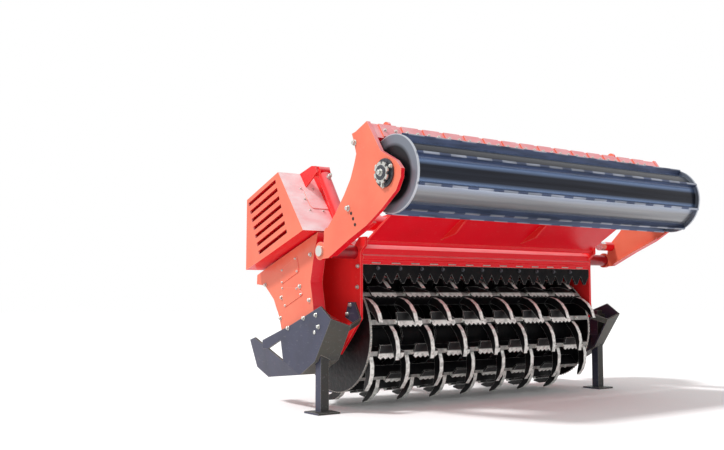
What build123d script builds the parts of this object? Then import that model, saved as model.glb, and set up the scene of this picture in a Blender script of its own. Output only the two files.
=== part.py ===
from build123d import *

import math
import os

# Heavy three-point-hitch rotary tiller with a raised rear roller. Millimetres.
# +X is the tractor's right, +Y is forward, +Z is up. The origin is on the floor, under the middle of the
# machine's box. Side outlines are lists of (forward, up) points measured from the rotor's axis.

os.makedirs("parts", exist_ok=True)

# ---- driving dimensions ----
FLOOR_GAP = 15             # hook tips above the floor when the machine is parked
HOOK_REACH = 460           # radius of the hook tips
HOOD_GAP = 142             # hood's top above the hook tips' sweep
HITCH_FRONT = 980          # foremost edge of the lower hitch plates, ahead of the rotor's axis
RUNNING_GAP = 0.3          # radial clearance of a shaft in its bore
CLEAR = 5                  # least clearance between moving pieces

HOOD_TOP = HOOK_REACH + HOOD_GAP

# stations across the machine, each outward from the one it stands on
WALL_OUT = 1085            # side walls, outer face, from the middle
WALL_T = 20
CASE_DEPTH = 137           # gear cases, on the side walls
PANEL_DEPTH = 90           # cover panels, on the gear cases
GUARD_GAP = 21             # cover panel to guard plate
GUARD_T = 12
GUARD_DEPTH = 145          # guard, across its folded flanges
ARM_GAP = 5.5              # cover panel to lift arm
ARM_T = 25
HOUSING_GAP = 15           # side wall to upper housing
HOUSING_DEPTH = 320

DRUM_WALL = 14
DISC_T = 16                # rotor end discs
END_GAP = 36.5             # rotor end disc to side wall
ROTOR_SHAFT_R = 60
SHAFT_IN_CASE = 45         # rotor shaft's length inside the gear case
ROWS = 12                  # rows of tools round the rotor
FIRST_ROW = 12             # first row's angle, up from straight behind
LONG_ROW = 8               # hooks in a long row; a short row has one fewer, between them
HOOK_T = 30
HOOK_HEIGHT = 80           # hook tip's radius beyond the tool bars
HOOK_LEAD = 32             # hook tip ahead of its bar, in degrees
BAR_T = 30
BAR_DEPTH = 90
WEB_T = 14
WEB_DEPTH = 70             # drum to tool bar
BLADE_T = 12
BLADE_GAP = 27             # hook to the blade beside it
BLADE_TEETH = 5

ROLLER_AT = (-948.5, HOOD_TOP + 327)  # roller's axis, raised
ROLLER_R = 198
ROLLER_WALL = 10
RIB_TIP = 235
RIB_T = 14
RIBS = 8
FIRST_RIB = 26
ROLLER_GAP = 27.5          # roller end to lift arm
ROLLER_END_R = 226
ROLLER_END_T = 12
ROLLER_SHAFT_R = 30

PIVOT = (-290, HOOD_TOP - 83)     # lift arms' pivot
PIVOT_R = 42
PIVOT_PIN_R = 24
ARM_BOSS_R = 56

DOOR_HINGE = (-372, HOOD_TOP - 18)
DOOR_LENGTH = 430
DOOR_RISE = 31             # degrees above level, open
DOOR_T = 12
DOOR_TUBE_R = 20
DOOR_PIN_R = 12
DOOR_PIN_IN = 70           # hinge pin's length inside the door's tube
DOOR_GAP = 10              # door to side wall

CYL_TOP = (-95, HOOD_TOP + 438)     # lift cylinders' frame pins
CYL_EYE = (-365, HOOD_TOP + 23)     # rods' eyes on the arms, arms raised
CYL_STATION = 100          # cylinder's centre line, outward from the housing's inner face
CYL_R = 38
CYL_BODY = 330
CYL_PIN_R = 15
ROD_R = 20
ROD_START = 60             # rod's inner end beyond the barrel's eye, retracted
EYE_R = 34
EYE_W = 50                 # rods' eyes
EAR_T = 12

LEG_AT = (780, 130)        # front legs' pivots
LEG_OUT = 42.5             # front legs' pivots, outward from the hitch plates

# ---- stations and places that follow ----
WALL_IN = WALL_OUT - WALL_T
CASE_OUT = WALL_OUT + CASE_DEPTH
PANEL_OUT = CASE_OUT + PANEL_DEPTH
GUARD_IN = PANEL_OUT + GUARD_GAP
GUARD_OUT = GUARD_IN + GUARD_T
ARM_IN = PANEL_OUT + ARM_GAP
ARM_OUT = ARM_IN + ARM_T
HOUSING_IN = WALL_OUT + HOUSING_GAP
HOUSING_OUT = HOUSING_IN + HOUSING_DEPTH
CYL_MID = HOUSING_IN + CYL_STATION
ROTOR_HALF = WALL_IN - END_GAP - DISC_T
SHAFT_END = WALL_OUT + SHAFT_IN_CASE
ROLLER_END = ARM_IN - ROLLER_GAP
DOOR_HALF = WALL_IN - DOOR_GAP

BAR_OUT = HOOK_REACH - HOOK_HEIGHT
BAR_IN = BAR_OUT - BAR_DEPTH
DRUM_R = BAR_IN - WEB_DEPTH
DISC_R = BAR_OUT           # rotor end discs close the bars' ends
HOOK_PITCH = (2 * ROTOR_HALF - HOOK_T) / (LONG_ROW - 1)

AXIS_Z = HOOK_REACH + FLOOR_GAP
REAR_REACH = -ROLLER_AT[0] + ROLLER_END_R
for rib in range(RIBS):
    rib_angle = math.radians(FIRST_RIB + 360 / RIBS * rib)
    REAR_REACH = max(REAR_REACH, -ROLLER_AT[0] + RIB_TIP * math.cos(rib_angle))
AXIS_Y = (REAR_REACH - HITCH_FRONT) / 2


def side(x, at=(0, 0), turn=0):
    """The upright lengthwise plane at x: sketch axes forward and up, from a point beside the rotor's axis."""
    c = math.cos(math.radians(turn))
    s = math.sin(math.radians(turn))
    return Plane(origin=(x, AXIS_Y + at[0], AXIS_Z + at[1]), x_dir=(0, c, s), z_dir=(1, 0, 0))


def radial(x, angle, at=(0, 0)):
    """A lengthwise plane at x whose sketch axes run outward from a shaft and towards its forward turn."""
    a = math.radians(angle)
    origin = (x, AXIS_Y + at[0], AXIS_Z + at[1])
    return Plane(origin=origin, x_dir=(0, -math.cos(a), math.sin(a)), z_dir=(1, 0, 0))


def band(points, depth):
    """The outline of a folded strip: a chain of points and the same chain moved to its left by the depth."""
    lefts = []
    for start, end in zip(points, points[1:]):
        length = math.dist(start, end)
        lefts.append(((start[1] - end[1]) / length, (end[0] - start[0]) / length))
    lefts = [lefts[0]] + lefts + [lefts[-1]]
    moved = []
    for point, a, b in zip(points, lefts, lefts[1:]):
        reach = depth / (1 + a[0] * b[0] + a[1] * b[1])
        moved.append((point[0] + reach * (a[0] + b[0]), point[1] + reach * (a[1] + b[1])))
    return list(points) + moved[::-1]


def over(points):
    """Outline points measured from the height of the hood's top, moved to the rotor's axis."""
    return [(forward, HOOD_TOP + up) for forward, up in points]


def save(builder, name):
    builder.part.label = name
    export_step(builder.part, f"parts/{name}.step")


# ---- side walls, hood and rear beam ----
ROOF_LINE = over([(-290, -40), (-180, 0), (200, 0), (430, -132)]) + [(480, 330), (480, 150)]
WALL_REAR = [(-354, 102)] + over([(-354, -82), (-405, -42), (-405, 10), (-340, 10)])
WALL_OUTLINE = WALL_REAR + ROOF_LINE + [(420, 40), (130, -130), (-130, -130), (-240, -20)]
ROOF_T = 12
BEAM_FRONT = -290
BEAM_REAR = -350
BEAM_DROP = 40             # beam's top below the hood's
BEAM_HEIGHT = 120
BEAM_BEVEL = 20
BEAD_UP = 26               # raised bead along the beam, from its lower edge
BEAD_HEIGHT = 38
BEAD_DEPTH = 10
BEAM_TOP = HOOD_TOP - BEAM_DROP
BEAM_LOW = BEAM_TOP - BEAM_HEIGHT
BEAD_LOW = BEAM_LOW + BEAD_UP
BEAD_HIGH = BEAD_LOW + BEAD_HEIGHT

with BuildPart() as side_walls:
    with BuildSketch(side(WALL_IN)):
        with BuildLine():
            Polyline(*WALL_OUTLINE, close=True)
        make_face()
        Circle(ROTOR_SHAFT_R + RUNNING_GAP, mode=Mode.SUBTRACT)
    extrude(amount=WALL_T)
    mirror(about=Plane.YZ)
save(side_walls, "side_walls")

with BuildPart() as hood:
    with BuildSketch(side(-WALL_IN)):
        with BuildLine():
            Polyline(*band(ROOF_LINE, -ROOF_T), close=True)
        make_face()
    extrude(amount=2 * WALL_IN)
save(hood, "hood")

with BuildPart() as rear_beam:
    with BuildSketch(side(-WALL_IN)):
        with BuildLine():
            Polyline(
                (BEAM_REAR, BEAM_LOW), (BEAM_REAR, BEAD_LOW), (BEAM_REAR - BEAD_DEPTH, BEAD_LOW + BEAD_DEPTH),
                (BEAM_REAR - BEAD_DEPTH, BEAD_HIGH - BEAD_DEPTH), (BEAM_REAR, BEAD_HIGH),
                (BEAM_REAR, BEAM_TOP - BEAM_BEVEL), (BEAM_REAR + BEAM_BEVEL, BEAM_TOP),
                (BEAM_FRONT, BEAM_TOP), (BEAM_FRONT, BEAM_LOW), close=True)
        make_face()
    extrude(amount=2 * WALL_IN)
save(rear_beam, "rear_beam")

# ---- comb of fixed teeth under the beam ----
COMB_T = 12
COMB_GAP = 17.6            # hook tips' sweep to the comb's tips
COMB_TOOTH = 63
COMB_TEETH = 23
COMB_TIP = 18              # width of a tooth's tip
COMB_LOW = math.sqrt((HOOK_REACH + COMB_GAP) ** 2 - BEAM_REAR ** 2)
COMB_ROOT = COMB_LOW + COMB_TOOTH
comb_pitch = 2 * WALL_IN / COMB_TEETH
comb_edge = []
for tooth in range(COMB_TEETH):
    middle = -WALL_IN + (tooth + 0.5) * comb_pitch
    comb_edge += [(middle - COMB_TIP / 2, COMB_LOW), (middle + COMB_TIP / 2, COMB_LOW)]
    comb_edge += [(middle + comb_pitch / 2, COMB_ROOT)]
with BuildPart() as comb:
    with BuildSketch(Plane(origin=(0, AXIS_Y + BEAM_REAR, AXIS_Z), x_dir=(1, 0, 0), z_dir=(0, -1, 0))):
        with BuildLine():
            Polyline((-WALL_IN, BEAM_LOW), (-WALL_IN, COMB_ROOT), *comb_edge, (WALL_IN, BEAM_LOW), close=True)
        make_face()
    extrude(amount=-COMB_T)
save(comb, "comb")

# ---- gear cases, cover panels and upper housings at both ends ----
CASE_LOWER = [(70, 150), (-120, 90), (-150, -60), (-70, -150), (70, -150), (170, -40), (330, 240)]
CASE_OUTLINE = over([(70, -50)]) + CASE_LOWER + over([(330, -134)])
PANEL_LOWER = [
    (-132, 330), (-165, 182), (-180, 40), (-120, -120), (40, -160), (150, -60), (215, 20), (244, 101),
    (319, 220), (438, 313), (550, 322),
]
PANEL_OUTLINE = over([(-217, 38), (-167, -120)]) + PANEL_LOWER + over([(546, -216), (345, -147)])
HOUSING_OUTLINE = over([(505, 294), (92, 441), (-214, 47), (345, -134), (510, -183)])
HOUSING_WALL = 10

with BuildPart() as gear_cases:
    with BuildSketch(side(WALL_OUT)):
        with BuildLine():
            Polyline(*CASE_OUTLINE, close=True)
        make_face()
    extrude(amount=CASE_DEPTH)
    with BuildSketch(side(WALL_OUT)):
        Circle(ROTOR_SHAFT_R + RUNNING_GAP)
    extrude(amount=SHAFT_IN_CASE + CLEAR, mode=Mode.SUBTRACT)
    mirror(about=Plane.YZ)
save(gear_cases, "gear_cases")

with BuildPart() as cover_panels:
    with BuildSketch(side(CASE_OUT)):
        with BuildLine():
            Polyline(*PANEL_OUTLINE, close=True)
        make_face()
    extrude(amount=PANEL_DEPTH)
    mirror(about=Plane.YZ)
save(cover_panels, "cover_panels")

# The housing is a hollow box; slots through its outer face run with its top edge.
SLOTS = 7
SLOT_LENGTH = 380
SLOT_HEIGHT = 27
SLOT_PITCH = 60
SLOT_STAGGER = 4           # each slot's shift along the face from the one above it
SLOTS_AT = (230, HOOD_TOP + 155)
SLOT_TURN = -19.5
slot_places = []
for n in range(SLOTS):
    row = n - (SLOTS - 1) / 2
    slot_places += [(row * SLOT_STAGGER, row * SLOT_PITCH)]
with BuildPart() as upper_housings:
    with BuildSketch(side(HOUSING_IN)):
        with BuildLine():
            Polyline(*HOUSING_OUTLINE, close=True)
        make_face()
    extrude(amount=HOUSING_DEPTH)
    with BuildSketch(side(HOUSING_IN + HOUSING_WALL)):
        with BuildLine():
            Polyline(*HOUSING_OUTLINE, close=True)
        make_face()
        offset(amount=-HOUSING_WALL, kind=Kind.INTERSECTION, mode=Mode.REPLACE)
    extrude(amount=HOUSING_DEPTH - 2 * HOUSING_WALL, mode=Mode.SUBTRACT)
    with BuildSketch(side(HOUSING_OUT, at=SLOTS_AT, turn=SLOT_TURN)):
        with Locations(*slot_places):
            Rectangle(SLOT_LENGTH, SLOT_HEIGHT)
    extrude(amount=-HOUSING_WALL, mode=Mode.SUBTRACT)
    mirror(about=Plane.YZ)
save(upper_housings, "upper_housings")

# ---- skid guards: a plate, its folded rear and bottom flanges, a tilted front wedge and a wall bracket ----
GUARD_FOLD = [(-415, 105), (-238, -156), (-69, -250)]
GUARD_FOLD_IN = [(-414, 59), (-284, -150), (-92, -247)]    # the fold at the flange's inner edge
GUARD_PLATE = [(-300, 181)] + GUARD_FOLD + [
    (138, -180), (171, -42), (332, -105), (407, -110), (408, -52), (164, 23), (70, 50),
]
WEDGE_AT = GUARD_FOLD[-1]
WEDGE_RISE = 19.7          # slope of the wedge's upper edge, degrees
WEDGE_TILT = 14            # wedge's lower edge leans inboard by this
WEDGE_OUTLINE = [(0, 0), (624, 0), (694, -45), (604, -215), (439, -218)]
GUARD_PAD = [(-150, 125), (-160, 95), (90, 15), (100, 38)]
BRACKET_OUTLINE = [(-310, 205), (-368, 104), (-330, 60), (-205, 110), (-240, 205)]
RAIL_HEIGHT = 40           # rail from the flange's inner corner to the wall bracket
RAIL_TURN = 60
RAIL_AT_FLANGE = (-400, 50)
RAIL_AT_WALL = (-352, 90)
STAND_AT = -235            # rear stands, behind the rotor's axis
STAND_W = 60
SOCKET_W = 90
SOCKET_LOW = -60
SOCKET_HIGH = 100
stand_x = GUARD_IN - SOCKET_W / 2
tilt = math.radians(WEDGE_TILT)
rise = math.radians(WEDGE_RISE)
wedge_plane = Plane(
    origin=(GUARD_OUT, AXIS_Y + WEDGE_AT[0], AXIS_Z + WEDGE_AT[1]),
    x_dir=(0, math.cos(rise), math.sin(rise)),
    z_dir=(math.cos(tilt), math.sin(tilt) * math.sin(rise), -math.sin(tilt) * math.cos(rise)))

with BuildPart() as guards:
    with BuildSketch(side(GUARD_IN)):
        with BuildLine():
            Polyline(*GUARD_PLATE, close=True)
        make_face()
    extrude(amount=GUARD_T)
    for x, fold in ((GUARD_OUT - GUARD_DEPTH, GUARD_FOLD_IN), (GUARD_OUT, GUARD_FOLD)):
        with BuildSketch(side(x)):
            with BuildLine():
                Polyline(*band(fold, GUARD_T), close=True)
            make_face()
    loft(ruled=True)
    with BuildSketch(wedge_plane):
        with BuildLine():
            Polyline(*WEDGE_OUTLINE, close=True)
        make_face()
    extrude(amount=-GUARD_T)
    with BuildSketch(side(PANEL_OUT)):
        with BuildLine():
            Polyline(*GUARD_PAD, close=True)
        make_face()
    extrude(amount=GUARD_GAP)
    with BuildSketch(side(WALL_OUT)):
        with BuildLine():
            Polyline(*BRACKET_OUTLINE, close=True)
        make_face()
    extrude(amount=GUARD_T)
    for x, middle in ((WALL_OUT, RAIL_AT_WALL), (GUARD_OUT - GUARD_DEPTH, RAIL_AT_FLANGE)):
        with BuildSketch(side(x, at=middle, turn=-RAIL_TURN)):
            Rectangle(RAIL_HEIGHT, GUARD_T)
    loft(ruled=True)
    with BuildSketch(Plane(origin=(stand_x, AXIS_Y + STAND_AT, AXIS_Z + SOCKET_LOW - CLEAR))):
        Rectangle(STAND_W + 2 * CLEAR, STAND_W + 2 * CLEAR)
    extrude(amount=-AXIS_Z, mode=Mode.SUBTRACT)
    mirror(about=Plane.YZ)
save(guards, "guards")

# ---- rotor ----
long_row_x = [-ROTOR_HALF + HOOK_T / 2 + n * HOOK_PITCH for n in range(LONG_ROW)]
short_row_x = [x + HOOK_PITCH / 2 for x in long_row_x[:-1]]
row_step = 360 / ROWS
short_rows = [FIRST_ROW - 2 * row_step * n for n in range(ROWS // 2)]
long_rows = [angle - row_step for angle in short_rows]

with BuildPart() as rotor_drum:
    with BuildSketch(side(-ROTOR_HALF)):
        Circle(DRUM_R)
        Circle(DRUM_R - DRUM_WALL, mode=Mode.SUBTRACT)
    extrude(amount=2 * ROTOR_HALF)
save(rotor_drum, "rotor_drum")

with BuildPart() as rotor_ends:
    with BuildSketch(side(ROTOR_HALF)):
        Circle(DISC_R)
    extrude(amount=DISC_T)
    with BuildSketch(side(ROTOR_HALF + DISC_T)):
        Circle(ROTOR_SHAFT_R)
    extrude(amount=SHAFT_END - ROTOR_HALF - DISC_T)
    mirror(about=Plane.YZ)
save(rotor_ends, "rotor_ends")

with BuildPart() as rotor_webs:
    for x in long_row_x[1:-1]:
        with BuildSketch(side(x - WEB_T / 2, turn=-FIRST_ROW)):
            RegularPolygon(BAR_IN, ROWS, major_radius=False, rotation=row_step / 2)
            Circle(DRUM_R, mode=Mode.SUBTRACT)
        extrude(amount=WEB_T)
save(rotor_webs, "rotor_webs")

with BuildPart() as rotor_bars:
    for angle in long_rows + short_rows:
        with BuildSketch(radial(-ROTOR_HALF, angle)):
            with Locations(((BAR_IN + BAR_OUT) / 2, 0)):
                Rectangle(BAR_DEPTH, BAR_T)
        extrude(amount=2 * ROTOR_HALF)
save(rotor_bars, "rotor_bars")

# A hook stands on its bar's leading face and is drawn outward and forward from the rotor's axis. It is forged
# with a few flats along its back and its throat.
HOOK_ROOT_IN = 14          # root's outer end, in from the bar's outer face
HOOK_ROOT_DEPTH = 62
HOOK_BACK_IN = 27          # back's middle, in from the tip's radius
HOOK_THROAT_IN = 88        # throat's middle, in from the tip's radius
HOOK_TIP = 12
BACK_FLATS = 4
THROAT_FLATS = 3


def polar(radius, angle):
    return (radius * math.cos(math.radians(angle)), radius * math.sin(math.radians(angle)))


hook_root = (BAR_OUT - HOOK_ROOT_IN, BAR_T / 2)
hook_heel = (BAR_OUT - HOOK_ROOT_IN - HOOK_ROOT_DEPTH, BAR_T / 2)
with BuildPart() as hook:
    with BuildSketch(Plane.XY.offset(-HOOK_T / 2)):
        with BuildLine():
            back = ThreePointArc(
                hook_root, polar(HOOK_REACH - HOOK_BACK_IN, HOOK_LEAD / 2), polar(HOOK_REACH, HOOK_LEAD),
                mode=Mode.PRIVATE)
            throat = ThreePointArc(
                polar(HOOK_REACH - HOOK_TIP, HOOK_LEAD), polar(HOOK_REACH - HOOK_THROAT_IN, HOOK_LEAD / 2),
                hook_heel, mode=Mode.PRIVATE)
            back_points = [back @ (n / BACK_FLATS) for n in range(BACK_FLATS + 1)]
            throat_points = [throat @ (n / THROAT_FLATS) for n in range(THROAT_FLATS + 1)]
            Polyline(*back_points, *throat_points, close=True)
        make_face()
    extrude(amount=HOOK_T)

with BuildPart() as long_row_hooks:
    with Locations(*[radial(x, angle).location for angle in long_rows for x in long_row_x]):
        add(hook.part)
save(long_row_hooks, "long_row_hooks")

with BuildPart() as short_row_hooks:
    with Locations(*[radial(x, angle).location for angle in short_rows for x in short_row_x]):
        add(hook.part)
save(short_row_hooks, "short_row_hooks")

# A blade lies on the bar's outer edge between each two hooks, its leading edge serrated and its tail tapered.
# Its outline runs across the machine and towards the rotor's forward turn.
BLADE_LEAD = 35            # tooth tips ahead of the bar's middle
TOOTH_DEPTH = 14
BLADE_TAIL = 60            # tail's reach behind the bar's middle
BLADE_TAPER = 15
blade_half = HOOK_PITCH / 2 - HOOK_T / 2 - BLADE_GAP
tooth_w = 2 * blade_half / BLADE_TEETH
blade_edge = [(-blade_half, BLADE_LEAD - TOOTH_DEPTH)]
for tooth in range(BLADE_TEETH):
    left = -blade_half + tooth * tooth_w
    blade_edge += [(left + tooth_w / 2, BLADE_LEAD), (left + tooth_w, BLADE_LEAD - TOOTH_DEPTH)]
with BuildPart() as blade:
    with BuildSketch(Plane(origin=(BAR_OUT, 0, 0), x_dir=(0, 0, 1), z_dir=(1, 0, 0))):
        with BuildLine():
            Polyline(*[(x, -t) for x, t in blade_edge], (blade_half, BLADE_TAPER), (0, BLADE_TAIL),
                     (-blade_half, BLADE_TAIL), close=True)
        make_face()
    extrude(amount=BLADE_T)

blade_places = [radial(x, angle).location for angle in long_rows for x in short_row_x]
blade_places += [radial(x, angle).location for angle in short_rows for x in long_row_x[1:-1]]
with BuildPart() as rotor_blades:
    with Locations(*blade_places):
        add(blade.part)
save(rotor_blades, "rotor_blades")

# ---- lift arms with crossbeam and scraper ----
ARM_OUTLINE = over([
    (-335, 23), (-450, 131), (-543, 236), (-612, 329), (-651, 416), (-670, 470), (-634, 590), (-774, 648),
    (-905, 459), (-1046, 388), (-1092, 340), (-1088, 291), (-1046, 222), (-904, 123), (-767, 44), (-590, -30),
    (-379, -128), (-318, -132),
])
ARM_LIP = over([(-800, 60), (-767, 44), (-590, -30), (-400, -118)])
LIP_T = 10
LIP_DEPTH = 25
BEAM_REAR_FACE = over([(-774, 638), (-836, 548)])
BEAM_OUTLINE = over([(-640, 588)]) + BEAM_REAR_FACE + over([(-740, 473), (-660, 478)])
BEAM_END = over([(-590, 603)]) + BEAM_REAR_FACE + over([(-740, 473), (-645, 478)])
BEAM_END_T = 20
LUG_X = (-1150, 906)       # lifting lugs on the crossbeam
LUG_T = 20
LUG_R = 30
LUG_HOLE_R = 15
LUG_EYE = over([(-714, 643)])[0]
LUG_FOOT = over([(-742, 646), (-748, 622), (-680, 598), (-686, 634)])
TUBE_WALL = 10
with BuildPart() as arm_plates:
    with BuildSketch(side(ARM_IN)):
        with BuildLine():
            Polyline(*ARM_OUTLINE, close=True)
        make_face()
        with Locations(CYL_EYE):
            Circle(EYE_R)
        with Locations(PIVOT):
            Circle(ARM_BOSS_R)
            Circle(PIVOT_PIN_R + RUNNING_GAP, mode=Mode.SUBTRACT)
        with Locations(ROLLER_AT):
            Circle(ROLLER_SHAFT_R + RUNNING_GAP, mode=Mode.SUBTRACT)
    extrude(amount=ARM_T)
    with BuildSketch(side(ARM_IN - LIP_DEPTH)):
        with BuildLine():
            Polyline(*band(ARM_LIP, LIP_T), close=True)
        make_face()
    extrude(amount=LIP_DEPTH)
    mirror(about=Plane.YZ)
save(arm_plates, "arm_plates")

with BuildPart() as crossbeam:
    with BuildSketch(side(-ARM_IN)):
        with BuildLine():
            Polyline(*BEAM_OUTLINE, close=True)
        make_face()
        offset(amount=-TUBE_WALL, mode=Mode.SUBTRACT, kind=Kind.INTERSECTION)
    extrude(amount=2 * ARM_IN)
    for near in (-ARM_IN, ARM_IN - BEAM_END_T):
        with BuildSketch(side(near)):
            with BuildLine():
                Polyline(*BEAM_END, close=True)
            make_face()
        extrude(amount=BEAM_END_T)
    for x in LUG_X:
        with BuildSketch(side(x - LUG_T / 2)):
            with BuildLine():
                Polyline(*LUG_FOOT, close=True)
            make_face()
            with Locations(LUG_EYE):
                Circle(LUG_R)
                Circle(LUG_HOLE_R, mode=Mode.SUBTRACT)
        extrude(amount=LUG_T)
save(crossbeam, "crossbeam")

SCRAPER_TABS = 15
SCRAPER_T = 10
SCRAPER_PITCH = 165.5
SCRAPER_W = 130
SCRAPER_SHIFT = -43        # tabs' middle, from the machine's
SCRAPER_MARGIN = 5         # beam's edge to a tab
rear_face = (BEAM_REAR_FACE[1][0] - BEAM_REAR_FACE[0][0], BEAM_REAR_FACE[1][1] - BEAM_REAR_FACE[0][1])
rear_length = math.hypot(*rear_face)
rear_turn = math.degrees(math.atan2(rear_face[1], rear_face[0]))
with BuildPart() as scraper_tabs:
    for n in range(SCRAPER_TABS):
        x = SCRAPER_SHIFT + (n - (SCRAPER_TABS - 1) / 2) * SCRAPER_PITCH
        with BuildSketch(side(x - SCRAPER_W / 2, at=BEAM_REAR_FACE[0], turn=rear_turn)):
            with Locations((rear_length / 2, -SCRAPER_T / 2)):
                Rectangle(rear_length - 2 * SCRAPER_MARGIN, SCRAPER_T)
        extrude(amount=SCRAPER_W)
save(scraper_tabs, "scraper_tabs")

BEARING_R = 82
FLANGE_T = 10
HUB_R = 55
HUB_DEPTH = 22
ROLLER_SHAFT_OUT = 10      # shaft's end beyond the bearing's hub
with BuildPart() as roller_bearings:
    with BuildSketch(side(ARM_OUT, at=ROLLER_AT)):
        Circle(BEARING_R)
    extrude(amount=FLANGE_T)
    with BuildSketch(side(ARM_OUT, at=ROLLER_AT)):
        Circle(HUB_R)
    extrude(amount=HUB_DEPTH)
    with BuildSketch(side(ARM_OUT, at=ROLLER_AT)):
        Circle(ROLLER_SHAFT_R + RUNNING_GAP)
    extrude(amount=HUB_DEPTH, mode=Mode.SUBTRACT)
    mirror(about=Plane.YZ)
save(roller_bearings, "roller_bearings")

# ---- rear roller ----
RIB_HALF = ROLLER_END - ROLLER_END_T
ROLLER_SHAFT_END = ARM_OUT + HUB_DEPTH + ROLLER_SHAFT_OUT
with BuildPart() as roller_drum:
    with BuildSketch(side(-RIB_HALF, at=ROLLER_AT)):
        Circle(ROLLER_R)
        Circle(ROLLER_R - ROLLER_WALL, mode=Mode.SUBTRACT)
    extrude(amount=2 * RIB_HALF)
save(roller_drum, "roller_drum")

rib_foot = math.sqrt(ROLLER_R ** 2 - (RIB_T / 2) ** 2)
with BuildPart() as roller_ribs:
    for n in range(RIBS):
        with BuildSketch(radial(-RIB_HALF, FIRST_RIB + 360 / RIBS * n, at=ROLLER_AT)):
            with BuildLine():
                Polyline((rib_foot, RIB_T / 2), (RIB_TIP, RIB_T / 2), (RIB_TIP, -RIB_T / 2),
                         (rib_foot, -RIB_T / 2))
                ThreePointArc((rib_foot, -RIB_T / 2), (ROLLER_R, 0), (rib_foot, RIB_T / 2))
            make_face()
        extrude(amount=2 * RIB_HALF)
save(roller_ribs, "roller_ribs")

with BuildPart() as roller_ends:
    with BuildSketch(side(RIB_HALF, at=ROLLER_AT)):
        Circle(ROLLER_END_R)
    extrude(amount=ROLLER_END_T)
    with BuildSketch(side(ROLLER_END, at=ROLLER_AT)):
        Circle(ROLLER_SHAFT_R)
    extrude(amount=ROLLER_SHAFT_END - ROLLER_END)
    mirror(about=Plane.YZ)
save(roller_ends, "roller_ends")

# ---- arm pivots on the side walls ----
PIVOT_HEAD_R = 34
PIVOT_HEAD_T = 12
with BuildPart() as arm_pivots:
    with BuildSketch(side(WALL_OUT, at=PIVOT)):
        Circle(PIVOT_R)
    extrude(amount=ARM_IN - RUNNING_GAP - WALL_OUT)
    with BuildSketch(side(ARM_IN - RUNNING_GAP, at=PIVOT)):
        Circle(PIVOT_PIN_R)
    extrude(amount=ARM_T + 2 * RUNNING_GAP)
    with BuildSketch(side(ARM_OUT + RUNNING_GAP, at=PIVOT)):
        Circle(PIVOT_HEAD_R)
    extrude(amount=PIVOT_HEAD_T)
    mirror(about=Plane.YZ)
save(arm_pivots, "arm_pivots")

# ---- rear door ----
DOOR_TURN = 180 - DOOR_RISE
DOOR_RIB_X = (-480, 260)
DOOR_RIB_T = 12
RIB_START = 60             # rib along the door, from the hinge
RIB_PEAK = 200
RIB_END = 410
RIB_RISE = 45
RIB_END_RISE = 15
with BuildPart() as door_panel:
    with BuildSketch(side(-DOOR_HALF, at=DOOR_HINGE, turn=DOOR_TURN)):
        with Locations((DOOR_LENGTH / 2, 0)):
            Rectangle(DOOR_LENGTH, DOOR_T)
        Circle(DOOR_TUBE_R)
        Circle(DOOR_PIN_R + RUNNING_GAP, mode=Mode.SUBTRACT)
    extrude(amount=2 * DOOR_HALF)
save(door_panel, "door_panel")

with BuildPart() as door_ribs:
    for x in DOOR_RIB_X:
        with BuildSketch(side(x - DOOR_RIB_T / 2, at=DOOR_HINGE, turn=DOOR_TURN)):
            with BuildLine():
                Polyline((RIB_START, DOOR_T / 2), (RIB_PEAK, DOOR_T / 2 + RIB_RISE),
                         (RIB_END, DOOR_T / 2 + RIB_END_RISE), (RIB_END, DOOR_T / 2), close=True)
            make_face()
        extrude(amount=DOOR_RIB_T)
save(door_ribs, "door_ribs")

with BuildPart() as door_pins:
    with BuildSketch(side(DOOR_HALF - DOOR_PIN_IN, at=DOOR_HINGE)):
        Circle(DOOR_PIN_R)
    extrude(amount=WALL_IN - DOOR_HALF + DOOR_PIN_IN)
    mirror(about=Plane.YZ)
save(door_pins, "door_pins")

# ---- lift cylinders ----
BARREL_SINK = 4            # barrel's inner end, sunk into its eye
ROD_EYE_SINK = 17          # rod's end, sunk into its eye
eye_reach = (CYL_EYE[0] - CYL_TOP[0], CYL_EYE[1] - CYL_TOP[1])
cyl_length = math.hypot(*eye_reach)
cyl_turn = math.degrees(math.atan2(eye_reach[1], eye_reach[0]))


def across_cylinder(x, reach):
    """The plane square to a lift cylinder's centre line, this far from its frame pin."""
    c = math.cos(math.radians(cyl_turn))
    s = math.sin(math.radians(cyl_turn))
    origin = (x, AXIS_Y + CYL_TOP[0] + reach * c, AXIS_Z + CYL_TOP[1] + reach * s)
    return Plane(origin=origin, x_dir=(1, 0, 0), z_dir=(0, c, s))


for x, hand in ((-CYL_MID, "left"), (CYL_MID, "right")):
    with BuildPart() as barrel:
        with BuildSketch(side(x - CYL_R, at=CYL_TOP)):
            Circle(EYE_R)
            Circle(CYL_PIN_R + RUNNING_GAP, mode=Mode.SUBTRACT)
        extrude(amount=2 * CYL_R)
        with BuildSketch(across_cylinder(x, EYE_R - BARREL_SINK)):
            Circle(CYL_R)
            Circle(ROD_R + RUNNING_GAP, mode=Mode.SUBTRACT)
        extrude(amount=CYL_BODY)
    save(barrel, f"cylinder_{hand}")
    with BuildPart() as rod:
        with BuildSketch(across_cylinder(x, EYE_R + ROD_START)):
            Circle(ROD_R)
        extrude(amount=cyl_length - EYE_R - ROD_START - ROD_EYE_SINK)
        with BuildSketch(side(x - EYE_W / 2, at=CYL_EYE)):
            Circle(EYE_R)
        extrude(amount=EYE_W)
    save(rod, f"rod_{hand}")

# Two slim ears hold each cylinder; the inner one runs down the housing's rear slope as a rib.
slope_top = HOUSING_OUTLINE[1]
slope_foot = HOUSING_OUTLINE[2]


def on_slope(up):
    """The point of the housing's rear slope at this height."""
    share = (up - slope_foot[1]) / (slope_top[1] - slope_foot[1])
    return (slope_foot[0] + share * (slope_top[0] - slope_foot[0]), up)


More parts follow.
